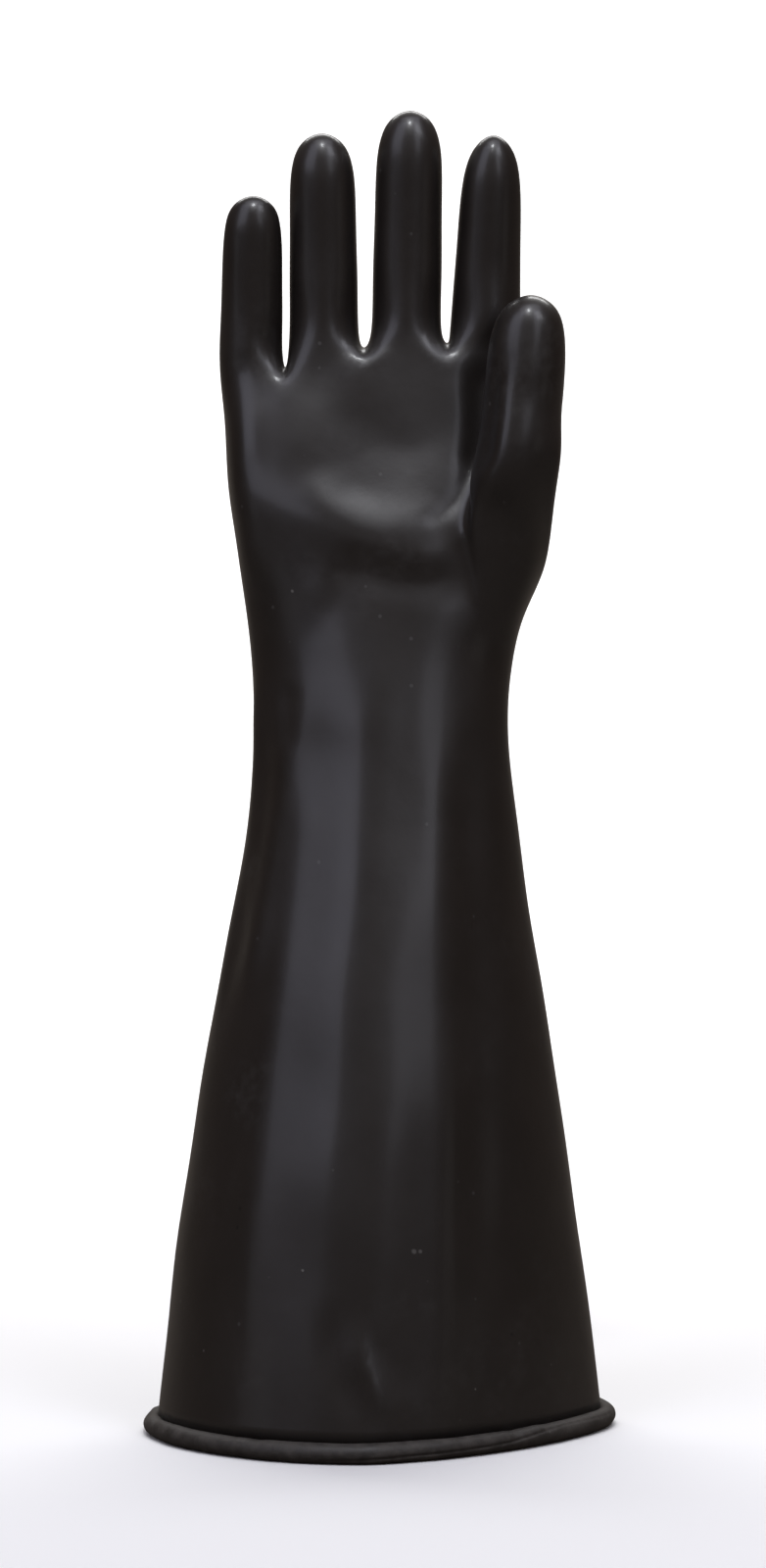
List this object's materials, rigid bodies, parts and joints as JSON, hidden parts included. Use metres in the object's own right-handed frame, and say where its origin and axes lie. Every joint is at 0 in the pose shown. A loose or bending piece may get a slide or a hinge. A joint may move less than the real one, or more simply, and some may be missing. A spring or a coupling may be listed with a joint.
{
  "type": "chemical resistant glove",
  "caption": "Right-hand heavy black rubber gauntlet: seamless dipped hand with fingers and thumb, a long flared hollow sleeve, and a rolled cuff on which it stands upright.",
  "frame": {"origin": "on the floor under the middle of the object's box: the cuff's roll stands on Z 0, and the cuff is the widest part both ways", "axes": "+Z from the cuff to the fingertips, +X to the thumb's side, -Y is where the palm faces"},
  "size_m": [0.1648, 0.1441, 0.4549],
  "materials": {
    "rubber_film": "smooth, half gloss, near black",
    "dusty_rubber": "matt, dusty, near black with a brown tinge"
  },
  "bodies": {
    "root": {"glove_shell": "rubber_film", "rolled_cuff": "dusty_rubber"}
  },
  "joints": []
}
